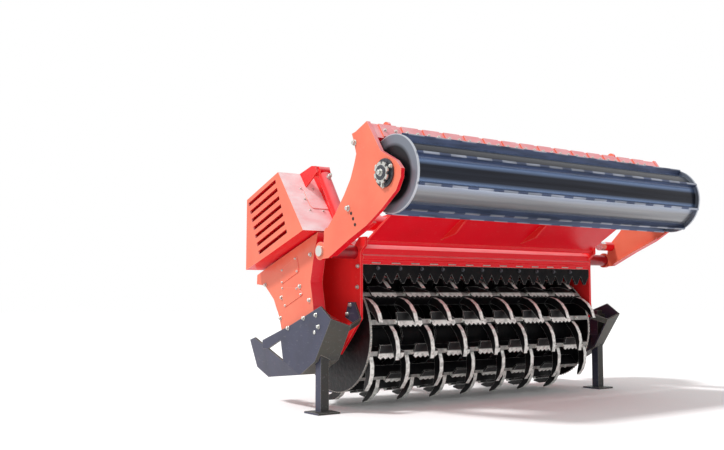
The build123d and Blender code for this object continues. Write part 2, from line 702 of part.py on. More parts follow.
EAR_TOP = over([(-50, 478), (-95, 473), (-112, 433)])
OUTER_EAR = EAR_TOP + over([(-60, 398)]) + [on_slope(HOOD_TOP + 348), slope_top]
INNER_EAR = EAR_TOP + over([(-75, 383), (-19, 379), (-244.5, 88.7)]) + [on_slope(HOOD_TOP + 58), slope_top]
ear_gap = CYL_R + CLEAR
with BuildPart() as cylinder_brackets:
    with BuildSketch(side(CYL_MID + ear_gap)):
        with BuildLine():
            Polyline(*OUTER_EAR, close=True)
        make_face()
    extrude(amount=EAR_T)
    with BuildSketch(side(CYL_MID - ear_gap - EAR_T)):
        with BuildLine():
            Polyline(*INNER_EAR, close=True)
        make_face()
    extrude(amount=EAR_T)
    with BuildSketch(side(CYL_MID - ear_gap, at=CYL_TOP)):
        Circle(CYL_PIN_R)
    extrude(amount=2 * ear_gap)
    mirror(about=Plane.YZ)
save(cylinder_brackets, "cylinder_brackets")

with BuildPart() as eye_bosses:
    with BuildSketch(side(CYL_MID + EYE_W / 2 + RUNNING_GAP, at=CYL_EYE)):
        Circle(EYE_R)
    extrude(amount=ARM_IN - CYL_MID - EYE_W / 2 - RUNNING_GAP)
    mirror(about=Plane.YZ)
save(eye_bosses, "eye_bosses")

# ---- headstock, hitch and drive ----
HITCH_HALF = 482.5         # shoulders of the lower hitch pins, from the middle
HITCH_PLATE_T = 25
LEG_X = HITCH_HALF + LEG_OUT
HITCH_GAP = 52
LOWER_PIN = (930, 160)
LOWER_PIN_R = 18.3
LOWER_PIN_END = 560
COLLAR_R = 22
MAST_RISE = 685            # top link's pin above the lower pins, category 3
TOP_PIN = (880, LOWER_PIN[1] + MAST_RISE)
TOP_HOLE_R = 16.1
HITCH_OUTLINE = [(480, 150), (480, 330), (940, 220), (HITCH_FRONT, 180), (HITCH_FRONT, 120), (900, 90)]
hitch_inner = HITCH_HALF - 2 * HITCH_PLATE_T - HITCH_GAP
with BuildPart() as hitch_plates:
    for near in (hitch_inner, HITCH_HALF - HITCH_PLATE_T):
        with BuildSketch(side(near)):
            with BuildLine():
                Polyline(*HITCH_OUTLINE, close=True)
            make_face()
            with Locations(LOWER_PIN):
                Circle(COLLAR_R + RUNNING_GAP, mode=Mode.SUBTRACT)
        extrude(amount=HITCH_PLATE_T)
    mirror(about=Plane.YZ)
save(hitch_plates, "hitch_plates")

with BuildPart() as hitch_pins:
    with BuildSketch(side(hitch_inner, at=LOWER_PIN)):
        Circle(COLLAR_R)
    extrude(amount=HITCH_HALF - hitch_inner)
    with BuildSketch(side(HITCH_HALF, at=LOWER_PIN)):
        Circle(LOWER_PIN_R)
    extrude(amount=LOWER_PIN_END - HITCH_HALF)
    mirror(about=Plane.YZ)
save(hitch_pins, "hitch_pins")

MAST_HALF = 60
MAST_T = 20
MAST_FOOT = over([(300, 78), (150, 0), (200, 0), (430, -132)]) + [(480, 330)]
MAST_NOSE = [
    (TOP_PIN[0] + 50, TOP_PIN[1] - 45),
    (TOP_PIN[0] + 50, TOP_PIN[1] + 45),
    (TOP_PIN[0] - 40, TOP_PIN[1] + 55),
]
with BuildPart() as mast:
    with BuildSketch(side(MAST_HALF)):
        with BuildLine():
            Polyline(*MAST_FOOT, (620, 560), *MAST_NOSE, close=True)
        make_face()
        with Locations(TOP_PIN):
            Circle(TOP_HOLE_R, mode=Mode.SUBTRACT)
    extrude(amount=MAST_T)
    mirror(about=Plane.YZ)
save(mast, "mast")

# ---- gearbox, input shaft and cross tubes ----
GEAR_HALF = MAST_HALF
GEAR_FRONT = 560
SHAFT_UP = HOOD_TOP + 58
CROSS_AT = (260, HOOD_TOP + 158)
CROSS_R = 55
GEARBOX_OUTLINE = over([
    (150, 0), (200, 0), (430, -132), (GEAR_FRONT, -2), (GEAR_FRONT, 118), (400, 198), (330, 248), (190, 248),
    (150, 158),
])
with BuildPart() as gearbox:
    with BuildSketch(side(-GEAR_HALF)):
        with BuildLine():
            Polyline(*GEARBOX_OUTLINE, close=True)
        make_face()
    extrude(amount=2 * GEAR_HALF)
save(gearbox, "gearbox")

with BuildPart() as cross_tubes:
    with BuildSketch(side(MAST_HALF + MAST_T, at=CROSS_AT)):
        Circle(CROSS_R)
    extrude(amount=HOUSING_IN - MAST_HALF - MAST_T)
    mirror(about=Plane.YZ)
save(cross_tubes, "cross_tubes")

PTO_R = 22.2
PTO_FRONT = 760
with BuildPart() as input_shaft:
    shaft_foot = (0, AXIS_Y + GEAR_FRONT, AXIS_Z + SHAFT_UP)
    with BuildSketch(Plane(origin=shaft_foot, x_dir=(1, 0, 0), z_dir=(0, 1, 0))):
        Circle(PTO_R)
    extrude(amount=PTO_FRONT - GEAR_FRONT)
save(input_shaft, "input_shaft")

# ---- front parking legs and rear stands ----
FOOT_T = 12
FOOT = 160
FOOT_SHIFT = 20            # feet stand inboard of the legs' pivots, so weight holds the legs on their stops
LEG_EYE_R = 32
LEG_W = 40
LEG_PIN_R = 12
leg_pivot_y = AXIS_Y + LEG_AT[0]
leg_pivot_z = AXIS_Z + LEG_AT[1]
plate_face = HITCH_HALF
lug_far = LEG_X + LEG_EYE_R - 6


def across(y):
    """The upright crosswise plane at y, seen from behind: sketch axes right and up from the leg's pivot."""
    return Plane(origin=(LEG_X, y, leg_pivot_z), x_dir=(1, 0, 0), z_dir=(0, -1, 0))


with BuildPart() as leg_brackets:
    for near in (leg_pivot_y - LEG_W / 2 - 1, leg_pivot_y + LEG_W / 2 + 1 + EAR_T):
        with BuildSketch(across(near)):
            with BuildLine():
                Polyline((plate_face - LEG_X, 60), (0, 60), (lug_far - LEG_X, 10), (lug_far - LEG_X, -25),
                         (plate_face - LEG_X, -25), close=True)
            make_face()
        extrude(amount=EAR_T)
    with BuildSketch(across(leg_pivot_y + LEG_W / 2 + 1)):
        Circle(LEG_PIN_R)
    extrude(amount=LEG_W + 2)
    mirror(about=Plane.YZ)
save(leg_brackets, "leg_brackets")

with BuildPart() as leg_right:
    with BuildSketch(across(leg_pivot_y + LEG_W / 2)):
        Circle(LEG_EYE_R)
        with Locations((0, -(leg_pivot_z - FOOT_T) / 2)):
            Rectangle(LEG_W, leg_pivot_z - FOOT_T)
        Circle(LEG_PIN_R + RUNNING_GAP, mode=Mode.SUBTRACT)
    extrude(amount=LEG_W)
    with BuildSketch(Plane(origin=(LEG_X - FOOT_SHIFT, leg_pivot_y, 0))):
        Rectangle(FOOT, FOOT)
    extrude(amount=FOOT_T)
save(leg_right, "leg_right")

with BuildPart() as leg_left:
    add(mirror(leg_right.part, about=Plane.YZ, mode=Mode.PRIVATE))
save(leg_left, "leg_left")

# The rear stands slide down inside the skid guards, in sockets on the guard plates.
STAND_TOP = 130
with BuildPart() as rear_stands:
    with BuildSketch(Plane(origin=(stand_x, AXIS_Y + STAND_AT, 0))):
        Rectangle(FOOT, FOOT)
    extrude(amount=FOOT_T)
    with BuildSketch(Plane(origin=(stand_x, AXIS_Y + STAND_AT, FOOT_T))):
        Rectangle(STAND_W, STAND_W)
    extrude(amount=AXIS_Z + STAND_TOP - FOOT_T)
    mirror(about=Plane.YZ)
save(rear_stands, "rear_stands")

with BuildPart() as stand_sockets:
    with BuildSketch(Plane(origin=(stand_x, AXIS_Y + STAND_AT, AXIS_Z + SOCKET_LOW))):
        Rectangle(SOCKET_W, SOCKET_W)
        Rectangle(STAND_W + 2 * RUNNING_GAP, STAND_W + 2 * RUNNING_GAP, mode=Mode.SUBTRACT)
    extrude(amount=SOCKET_HIGH - SOCKET_LOW)
    mirror(about=Plane.YZ)
save(stand_sockets, "stand_sockets")
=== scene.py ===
"""A heavy rotary tiller on its parking stands: paint, worn steel, bolts, welds, hoses, light and camera."""
import math

import bpy
from mathutils import Matrix, Vector


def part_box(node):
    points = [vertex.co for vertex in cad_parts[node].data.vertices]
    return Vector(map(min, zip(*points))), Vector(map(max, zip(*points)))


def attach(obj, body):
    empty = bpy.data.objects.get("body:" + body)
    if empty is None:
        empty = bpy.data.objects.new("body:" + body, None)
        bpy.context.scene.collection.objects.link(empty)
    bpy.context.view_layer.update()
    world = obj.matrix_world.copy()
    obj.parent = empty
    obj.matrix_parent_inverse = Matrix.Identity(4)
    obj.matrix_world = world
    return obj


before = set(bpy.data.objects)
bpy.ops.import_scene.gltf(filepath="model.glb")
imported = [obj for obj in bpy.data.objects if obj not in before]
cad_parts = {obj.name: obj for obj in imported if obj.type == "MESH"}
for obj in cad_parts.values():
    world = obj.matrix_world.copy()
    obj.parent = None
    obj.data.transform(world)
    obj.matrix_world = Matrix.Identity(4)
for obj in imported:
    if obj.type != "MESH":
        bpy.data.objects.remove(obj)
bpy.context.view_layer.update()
bpy.ops.object.select_all(action="DESELECT")

# ---- camera ----
# A person standing behind the machine's left corner, looking up a little at the raised roller.
camera_data = bpy.data.cameras.new("camera")
camera_data.lens = 44.77
camera_data.sensor_width = 36
camera = bpy.data.objects.new("camera", camera_data)
bpy.context.scene.collection.objects.link(camera)
camera.location = (-4.369, -4.8158, 0.7305)
camera.rotation_euler = (math.radians(90 + 4.386), 0, math.radians(-35.875))
bpy.context.scene.camera = camera

# ---- frame, arms and cover: orange-red enamel ----
# Welded steel plate, primed and sprayed with machinery enamel. Its outer sides are painted pale orange as
# painted sunlight, dust with painted sky light lies on what faces up, and sharp edges are rubbed pale and
# painted as highlights.


def linear(code):
    """An sRGB hex colour as linear light."""
    parts = [int(code[i:i + 2], 16) / 255 for i in (1, 3, 5)]
    return [c / 12.92 if c <= 0.04045 else ((c + 0.055) / 1.055) ** 2.4 for c in parts] + [1.0]


def add(tree, kind, inputs=None, give=0, **settings):
    """Adds a node, sets it, fills its inputs with values or links, and hands back one of its outputs."""
    node = tree.nodes.new(kind)
    for name, value in settings.items():
        setattr(node, name, value)
    for name, value in (inputs or {}).items():
        if isinstance(value, bpy.types.NodeSocket):
            tree.links.new(value, node.inputs[name])
        else:
            node.inputs[name].default_value = value
    return node.outputs[give]


def new_finish(name):
    """A material, its tree and its shader."""
    material = bpy.data.materials.new(name)
    material.use_nodes = True
    return material, material.node_tree, material.node_tree.nodes["Principled BSDF"]


def layers(tree, ground, *coats):
    """Colours laid over a ground, each by its own amount."""
    for amount, colour in coats:
        ground = add(tree, "ShaderNodeMix", {0: amount, 6: ground, 7: linear(colour)}, 2, data_type="RGBA")
    return ground


def blots(tree, pitch, bare, full, most=1.0, stretch=(1, 1, 1)):
    """Uneven patches this many millimetres apart, from none to most."""
    place = add(tree, "ShaderNodeTexCoord", give="Object")
    place = add(tree, "ShaderNodeVectorMath", {0: place, 1: stretch}, operation="MULTIPLY")
    noise = add(tree, "ShaderNodeTexNoise", {"Vector": place, "Scale": 1000 / pitch, "Detail": 4.0})
    return add(tree, "ShaderNodeMapRange", {0: noise, 1: bare, 2: full, 4: most})


def rubbed_and_highlit_edges(tree, width, most=1.0):
    """Where the surface turns a sharp edge, this many millimetres wide: rubbed pale and painted as a
    highlight.
    """
    rounded = add(tree, "ShaderNodeBevel", {"Radius": width / 1000}, samples=6)
    flat = add(tree, "ShaderNodeNewGeometry", give="True Normal")
    likeness = add(tree, "ShaderNodeVectorMath", {0: rounded, 1: flat}, "Value", operation="DOT_PRODUCT")
    return add(tree, "ShaderNodeMapRange", {0: likeness, 1: 0.98, 2: 0.75, 4: most})


def uneven(tree, shader, height, strength, depth):
    """Lets a pattern stand this many millimetres out of the surface."""
    tree.links.new(add(tree, "ShaderNodeBump", {
        "Height": height, "Strength": strength, "Distance": depth / 1000}), shader.inputs["Normal"])


def enamel(name, painted_sun, dust_and_sky, dust_and_sky_colour="#f6ccd0", gloss=0.35):
    """Machinery enamel with painted sunlight on its outer sides, and dust with painted sky light on what faces
    up.
    """
    material, tree, shader = new_finish(name)
    way = add(tree, "ShaderNodeTexCoord", give="Normal")
    sideways = add(tree, "ShaderNodeMath", {
        0: add(tree, "ShaderNodeSeparateXYZ", {0: way})}, operation="ABSOLUTE")
    upward = add(tree, "ShaderNodeSeparateXYZ", {0: way}, 2)
    # Pale dust on what faces up, which also stands in for painted sky light on those faces.
    dust_and_sky_film = add(tree, "ShaderNodeMath", {
        0: add(tree, "ShaderNodeMapRange", {0: upward, 1: 0.2, 2: 0.6, 4: dust_and_sky}),
        1: add(tree, "ShaderNodeMapRange", {0: blots(tree, 120, 0.3, 0.7, 1.0, (1, 3, 0.4)), 3: 0.7})},
        operation="MULTIPLY")
    # Rain washes level tops cleaner than the slopes below them, so there the dust and its painted sky light
    # are halved.
    dust_and_sky_film = add(tree, "ShaderNodeMath", {
        0: dust_and_sky_film, 1: add(tree, "ShaderNodeMapRange", {0: upward, 1: 0.7, 2: 0.95, 3: 1.0, 4: 0.5})},
        operation="MULTIPLY")
    colour = layers(
        tree, linear("#f21226"),
        # Outer sides painted pale orange: painted sunlight.
        (add(tree, "ShaderNodeMapRange", {0: sideways, 1: 0.5, 2: 0.9, 4: painted_sun}), "#ec785c"),
        (blots(tree, 260, 0.4, 0.75, 0.22), "#cc1a1c"),
        (dust_and_sky_film, dust_and_sky_colour),
        (blots(tree, 18, 0.62, 0.8, 0.14), "#e8a08c"),
        (rubbed_and_highlit_edges(tree, 5, 0.6), "#ffb49a"))
    tree.links.new(colour, shader.inputs["Base Color"])
    tree.links.new(add(tree, "ShaderNodeMapRange", {0: dust_and_sky_film, 3: 0.24, 4: 0.55}), shader.inputs["Roughness"])
    shader.inputs["Specular IOR Level"].default_value = gloss
    # Plate drawn by its welds: waves about 180 mm long.
    uneven(tree, shader, blots(tree, 180, 0.2, 0.8), 0.35, 6)
    return material


def dress(material, *nodes):
    """Gives CAD nodes their finish."""
    for name in nodes:
        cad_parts[name].data.materials.clear()
        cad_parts[name].data.materials.append(material)


# Lit and shaded copies of one enamel: covers, arms, housings and crossbeam get full painted sunlight on their
# sides, the other red parts only a little.
faint_sun_enamel = enamel("red_machinery_enamel_faint_painted_sun", painted_sun=0.12, dust_and_sky=0.4, gloss=0.22)
painted_sun_enamel = enamel("red_machinery_enamel_painted_sun", painted_sun=1.0, dust_and_sky=0.6)
dust_and_sky_enamel = enamel("red_machinery_enamel_dust_and_painted_sky", painted_sun=1.0, dust_and_sky=1.0, dust_and_sky_colour="#fff0f2")
beam_enamel = enamel("red_machinery_enamel_beam_dust_and_painted_sky", painted_sun=1.0, dust_and_sky=0.8)
dress(faint_sun_enamel, "side_walls", "hood", "rear_beam", "door_panel", "door_ribs", "hitch_plates", "mast",
      "gearbox", "cross_tubes", "eye_bosses", "cylinder_left", "cylinder_right", "cylinder_brackets")
dress(painted_sun_enamel, "gear_cases", "cover_panels", "arm_plates")
dress(dust_and_sky_enamel, "upper_housings")
dress(beam_enamel, "crossbeam", "scraper_tabs")

# ---- skid guards, stands and legs ----
# Wear plate folded and welded into open scoops, and square tube legs on plate feet, in satin blue-grey paint.
# Painted shade makes what doesn't face sideways olive-brown, soil has greyed what faces down, and the edges
# are scraped bare and painted as highlights.
guard_paint, tree, shader = new_finish("satin_blue_grey_paint")
way = add(tree, "ShaderNodeTexCoord", give="Normal")
sideways = add(tree, "ShaderNodeMath", {
    0: add(tree, "ShaderNodeSeparateXYZ", {0: way})}, operation="ABSOLUTE")
upward = add(tree, "ShaderNodeSeparateXYZ", {0: way}, 2)
clouds = blots(tree, 150, 0.45, 0.8, 0.5)
colour = layers(
    # Olive-brown ground: painted shade on every face that doesn't face sideways.
    tree, linear("#36342f"),
    (add(tree, "ShaderNodeMapRange", {0: sideways, 1: 0.55, 2: 0.95}), "#3e4054"),
    (add(tree, "ShaderNodeMapRange", {0: upward, 1: -0.35, 2: -0.8, 4: 0.7}), "#6d6a62"),
    (clouds, "#2c2e38"),
    (blots(tree, 14, 0.6, 0.75, 0.35, (1, 0.3, 1)), "#7d7e84"),
    (rubbed_and_highlit_edges(tree, 5, 0.6), "#a9a69e"))
tree.links.new(colour, shader.inputs["Base Color"])
shader.inputs["Roughness"].default_value = 0.45
shader.inputs["Specular IOR Level"].default_value = 0.35
uneven(tree, shader, clouds, 0.3, 5)
dress(guard_paint, "guards", "leg_left", "leg_right", "rear_stands", "stand_sockets", "leg_brackets")

# ---- rotor: drum, discs, webs, bars, hooks and blades ----
# Forged and hardened steel under thin black paint. Soil polishes the backs of the hooks, the teeth of the
# blades and the outer faces of the bars, and leaves the rest black. The polish is painted near-white, which is
# also a painted highlight.
drum_low, drum_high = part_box("rotor_drum")
AXIS = (drum_low + drum_high) / 2


def round_the_shaft(tree, axis):
    """A surface point's arm from a shaft along X, and the arm's length."""
    place = add(tree, "ShaderNodeTexCoord", give="Object")
    arm = add(tree, "ShaderNodeVectorMath", {0: place, 1: (0, axis.y, axis.z)}, operation="SUBTRACT")
    arm = add(tree, "ShaderNodeVectorMath", {0: arm, 1: (0, 1, 1)}, operation="MULTIPLY")
    return arm, add(tree, "ShaderNodeVectorMath", {0: arm}, "Value", operation="LENGTH")


def turn_fraction(tree, arm, first, step):
    """How far round from one spoke to the next a point lies, from 0 to 1, counting down from the first."""
    back = add(tree, "ShaderNodeMath", {
        0: add(tree, "ShaderNodeSeparateXYZ", {0: arm}, 1), 1: -1.0}, operation="MULTIPLY")
    angle = add(tree, "ShaderNodeMath", {
        0: add(tree, "ShaderNodeSeparateXYZ", {0: arm}, 2), 1: back}, operation="ARCTAN2")
    steps = add(tree, "ShaderNodeMath", {
        0: angle, 1: -1 / math.radians(step), 2: first / step + 100}, operation="MULTIPLY_ADD")
    return add(tree, "ShaderNodeMath", {0: steps}, operation="FRACT")


def worn_and_highlit_steel(name, start, edge_width, backs, toothed=False, shine=0.4):
    """Black-painted steel, polished and painted near-white as a highlight from this distance out, along its
    edges, and on its outward faces.
    """
    material, tree, shader = new_finish(name)
    arm, reach = round_the_shaft(tree, AXIS)
    outward = add(tree, "ShaderNodeVectorMath", {
        0: add(tree, "ShaderNodeVectorMath", {0: arm}, operation="NORMALIZE"),
        1: add(tree, "ShaderNodeTexCoord", give="Normal")}, "Value", operation="DOT_PRODUCT")
    outer = add(tree, "ShaderNodeMapRange", {0: reach, 1: start / 1000, 2: (start + 6) / 1000})
    faces = add(tree, "ShaderNodeMapRange", {0: outward, 1: 0.25, 2: 0.55, 4: backs})
    if toothed:
        # Only the toothed stretch of each blade is polished and given the painted highlight. The rest keeps
        # its paint.
        lead = turn_fraction(tree, arm, first=18, step=30)
        faces = add(tree, "ShaderNodeMath", {
            0: faces, 1: add(tree, "ShaderNodeMapRange", {0: lead, 1: 0.16, 2: 0.2})}, operation="MULTIPLY")
        faces = add(tree, "ShaderNodeMath", {
            0: faces, 1: add(tree, "ShaderNodeMapRange", {0: lead, 1: 0.6, 2: 0.5})}, operation="MULTIPLY")
    # Polish and painted highlight in one mask: worn steel, painted near-white.
    polish_and_highlight = add(tree, "ShaderNodeMath", {0: outer, 1: faces}, operation="MULTIPLY")
    polish_and_highlight = add(tree, "ShaderNodeMath", {
        0: polish_and_highlight, 1: rubbed_and_highlit_edges(tree, edge_width, 0.75)}, operation="MAXIMUM")
    polish_and_highlight = add(tree, "ShaderNodeMath", {
        0: polish_and_highlight, 1: add(tree, "ShaderNodeMapRange", {0: blots(tree, 25, 0.35, 0.55), 3: 0.6})},
        operation="MULTIPLY")
    colour = layers(
        tree, linear("#0e0e11"),
        (blots(tree, 60, 0.45, 0.75, 0.5), "#25211f"),
        (polish_and_highlight, "#fbfaf6"))
    tree.links.new(colour, shader.inputs["Base Color"])
    tree.links.new(add(tree, "ShaderNodeMapRange", {0: polish_and_highlight, 3: 0.4, 4: 0.3}), shader.inputs["Roughness"])
    tree.links.new(add(tree, "ShaderNodeMapRange", {0: polish_and_highlight, 4: 0.15}), shader.inputs["Metallic"])
    shader.inputs["Specular IOR Level"].default_value = shine
    uneven(tree, shader, blots(tree, 30, 0.3, 0.7), 0.4, 3)
    return material


# The drum, the webs and the comb keep their black paint, and only their edges are rubbed and painted as
# highlights.
dress(worn_and_highlit_steel("black_rotor_steel", start=900, edge_width=3, backs=0.0, shine=0.06),
      "rotor_drum", "rotor_webs", "comb")
dress(worn_and_highlit_steel("black_disc_steel", start=375, edge_width=4, backs=0.6), "rotor_ends")
dress(worn_and_highlit_steel("worn_and_highlit_bar_steel", start=370, edge_width=6, backs=0.4), "rotor_bars")
dress(worn_and_highlit_steel("forged_hook_steel", start=368, edge_width=5, backs=1.0),
      "long_row_hooks", "short_row_hooks")
dress(worn_and_highlit_steel("hardened_blade_steel", start=380, edge_width=5, backs=1.0, toothed=True),
      "rotor_blades")

# ---- rear roller ----
# A rolled steel drum with eight flat bars welded along it, between turned end plates. Reflections are painted
# on
# the drum: sky blue-grey beside each bar, a white highlight just past each bar, floor grey on what faces down,
# and dark between the bars.
roller_low, roller_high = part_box("roller_drum")
ROLLER = (roller_low + roller_high) / 2
roller_steel, tree, shader = new_finish("roller_steel_painted_reflections")
arm = round_the_shaft(tree, ROLLER)[0]
between_bars = turn_fraction(tree, arm, first=26, step=45)
# Painted reflection: darkest a little past halfway from one bar to the next.
beside_bar = add(tree, "ShaderNodeMath", {
    0: add(tree, "ShaderNodeMath", {0: between_bars, 1: 0.56}, operation="SUBTRACT")}, operation="ABSOLUTE")
downward = add(tree, "ShaderNodeMapRange", {
    0: add(tree, "ShaderNodeSeparateXYZ", {0: add(tree, "ShaderNodeTexCoord", give="Normal")}, 2),
    1: -0.28, 2: -0.4, 4: 0.6})
colour = layers(
    tree, linear("#181a23"),
    # Painted reflection of the sky beside each bar.
    (add(tree, "ShaderNodeMapRange", {0: beside_bar, 1: 0.22, 2: 0.46, 4: 0.85}), "#93aedb"),
    # Painted reflection of the floor on what faces down.
    (downward, "#b4b5b8"),
    (blots(tree, 22, 0.35, 0.75, 0.35, (0.02, 1, 1)), "#3a404d"),
    # Painted highlight just past each bar.
    (add(tree, "ShaderNodeMapRange", {0: between_bars, 1: 0.12, 2: 0.04, 4: 0.5}), "#f0f3fa"))
tree.links.new(colour, shader.inputs["Base Color"])
shader.inputs["Metallic"].default_value = 0.75
shader.inputs["Roughness"].default_value = 0.27
uneven(tree, shader, blots(tree, 22, 0.2, 0.8, 1.0, (0.02, 1, 1)), 0.15, 2)
dress(roller_steel, "roller_drum")

# The bars' outer edges are rubbed bright in dashes 200 mm apart.
bar_steel, tree, shader = new_finish("hot_rolled_bar_steel")
length = add(tree, "ShaderNodeSeparateXYZ", {0: add(tree, "ShaderNodeTexCoord", give="Object")})
stitch = add(tree, "ShaderNodeMath", {
    0: add(tree, "ShaderNodeMath", {0: length, 1: 1 / 0.2, 2: 50.2}, operation="MULTIPLY_ADD")},
    operation="FRACT")
stitch = add(tree, "ShaderNodeMapRange", {0: stitch, 1: 0.6, 2: 0.57, 4: 0.5})
reach = round_the_shaft(tree, ROLLER)[1]
tip = add(tree, "ShaderNodeMapRange", {0: reach, 1: 0.228, 2: 0.232})
colour = layers(
    tree, linear("#465270"),
    (add(tree, "ShaderNodeMath", {0: stitch, 1: tip}, operation="MULTIPLY"), "#c9ced8"),
    (blots(tree, 22, 0.4, 0.7, 0.6, (0.1, 1, 1)), "#20232d"))
tree.links.new(colour, shader.inputs["Base Color"])
shader.inputs["Metallic"].default_value = 0.6
shader.inputs["Roughness"].default_value = 0.35
uneven(tree, shader, stitch, 0.3, 1)
dress(bar_steel, "roller_ribs")

end_steel, tree, shader = new_finish("turned_end_plate_steel")
reach = round_the_shaft(tree, ROLLER)[1]
# Turning marks 3 mm apart, drawn coarser than they are so that they show. The middle is painted black as the
# arm's shadow, and the rim is bright.
rings = add(tree, "ShaderNodeMath", {0: reach, 1: 2 * math.pi / 0.003}, operation="MULTIPLY")
rings = add(tree, "ShaderNodeMath", {0: rings}, operation="SINE")
colour = layers(
    tree, linear("#7e848f"),
    (add(tree, "ShaderNodeMapRange", {0: rings, 1: 0.4, 2: 1.0, 4: 0.25}), "#5d626d"),
    # Painted shadow of the arm over the middle.
    (add(tree, "ShaderNodeMapRange", {0: reach, 1: 0.178, 2: 0.155, 4: 0.95}), "#0d0d11"),
    (add(tree, "ShaderNodeMapRange", {0: reach, 1: 0.219, 2: 0.223, 4: 0.7}), "#d6dae2"))
tree.links.new(colour, shader.inputs["Base Color"])
shader.inputs["Metallic"].default_value = 0.6
shader.inputs["Roughness"].default_value = 0.38
dress(end_steel, "roller_ends")

# ---- pins, shafts, rods and bearings ----
# Turned steel: zinc-plated pins, bare cast bearing housings and hard-chromed rods. The arms' pivot tube is
# painted with the frame, and only its end caps are plated.


def turned(name, bright, dull, rough):
    """Machined steel, dulled in spots."""
    material, tree, shader = new_finish(name)
    tree.links.new(layers(tree, linear(bright), (blots(tree, 10, 0.5, 0.75, 0.6), dull)),
                   shader.inputs["Base Color"])
    shader.inputs["Metallic"].default_value = 0.85
    tree.links.new(add(tree, "ShaderNodeMapRange", {
        0: blots(tree, 10, 0.3, 0.7), 3: rough, 4: rough + 0.15}), shader.inputs["Roughness"])
    return material


zinc = turned("zinc_plated_steel", "#cfcfca", "#8f8b80", 0.28)
casting = turned("cast_bearing_iron", "#55565c", "#2a2b30", 0.4)
chrome = turned("hard_chrome", "#e2e2e6", "#b0b0b4", 0.12)
pivot_paint, tree, shader = new_finish("painted_pivot_tube")
across = add(tree, "ShaderNodeMath", {
    0: add(tree, "ShaderNodeSeparateXYZ", {0: add(tree, "ShaderNodeTexCoord", give="Object")})},
    operation="ABSOLUTE")
cap = add(tree, "ShaderNodeMath", {
    0: across, 1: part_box("arm_plates")[1].x - 0.0005}, operation="GREATER_THAN")
tree.links.new(layers(tree, linear("#a50d1c"), (blots(tree, 30, 0.4, 0.7, 0.5), "#5a0a10"), (cap, "#d8d8d2")),
               shader.inputs["Base Color"])
tree.links.new(add(tree, "ShaderNodeMath", {0: cap, 1: 0.85}, operation="MULTIPLY"),
               shader.inputs["Metallic"])
shader.inputs["Roughness"].default_value = 0.32
dress(pivot_paint, "arm_pivots")
dress(zinc, "door_pins", "hitch_pins", "input_shaft")
dress(casting, "roller_bearings")
dress(chrome, "rod_left", "rod_right")

# ---- bolts ----
# Zinc-plated hexagon bolts on washers hold the guards, the drive covers, the plates on the side walls and the
# arms' stops. Each is listed by its place, in millimetres ahead of the rotor's axis and above it.


def at(x, forward, up):
    """A place in millimetres across the machine, ahead of the rotor's axis and above it."""
    return Vector((x / 1000, AXIS.y + forward / 1000, AXIS.z + up / 1000))


def pick(piece, test):
    """Selects a piece's faces by their middle and normal, and leaves it in edit mode."""
    bpy.ops.object.mode_set(mode="EDIT")
    bpy.ops.mesh.select_mode(type="FACE")
    bpy.ops.mesh.select_all(action="DESELECT")
    bpy.ops.object.mode_set(mode="OBJECT")
    for face in piece.data.polygons:
        face.select = test(face.center, face.normal)
    bpy.ops.object.mode_set(mode="EDIT")


def joined(name, pieces, material, body):
    """Makes one named piece of several, gives it its finish and sets it on its body."""
    bpy.ops.object.select_all(action="DESELECT")
    for piece in pieces:
        piece.select_set(True)
    bpy.context.view_layer.objects.active = pieces[0]
    if len(pieces) > 1:
        bpy.ops.object.join()
    whole = bpy.context.object
    bpy.ops.object.select_all(action="DESELECT")
    whole.name = name
    whole.data.name = name
    whole.data.materials.clear()
    whole.data.materials.append(material)
    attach(whole, body)
    return whole


def turned_disc(radius, depth, sides, base=0.0):
    """A round or many-sided disc standing on its base at the origin, its top edge chamfered."""
    bpy.ops.mesh.primitive_cylinder_add(
        vertices=sides, radius=radius / 1000, depth=depth / 1000, location=(0, 0, (base + depth / 2) / 1000))
    piece = bpy.context.object
    bpy.ops.object.transform_apply(location=True)
    top = (base + depth) / 1000
    pick(piece, lambda middle, normal: normal.z > 0.9 and middle.z > top - 1e-5)
    bpy.ops.mesh.bevel(offset=min(radius, depth) * 0.14 / 1000, segments=1, affect="EDGES")
    bpy.ops.object.mode_set(mode="OBJECT")
    return piece


def one_bolt(across_flats):
    """A hexagon head and its washer, facing up at the origin."""
    bpy.ops.object.select_all(action="DESELECT")
    washer = turned_disc(across_flats * 0.8, across_flats * 0.16, 16)
    head = turned_disc(across_flats / math.sqrt(3), across_flats * 0.62, 6, across_flats * 0.16)
    washer.select_set(True)
    head.select_set(True)
    bpy.ops.object.join()
    return bpy.context.object


def both_sides(face, spots):
    """The same spots on the machine's left and right faces, each facing outward."""
    return [(at(hand * face, forward, up), (hand, 0, 0)) for hand in (-1, 1) for forward, up in spots]


def copies(name, model, places, material, body):
    """A copy of a small piece, with its own mesh, at each place and facing its way. The model goes."""
    made = []
    for point, outward in places:
        copy = model.copy()
        copy.data = model.data.copy()
        turn = Vector(outward).to_track_quat("Z", "Y").to_matrix().to_4x4()
        copy.data.transform(Matrix.Translation(point) @ turn)
        bpy.context.scene.collection.objects.link(copy)
        made.append(copy)
    bpy.data.objects.remove(model, do_unlink=True)
    return joined(name, made, material, body)


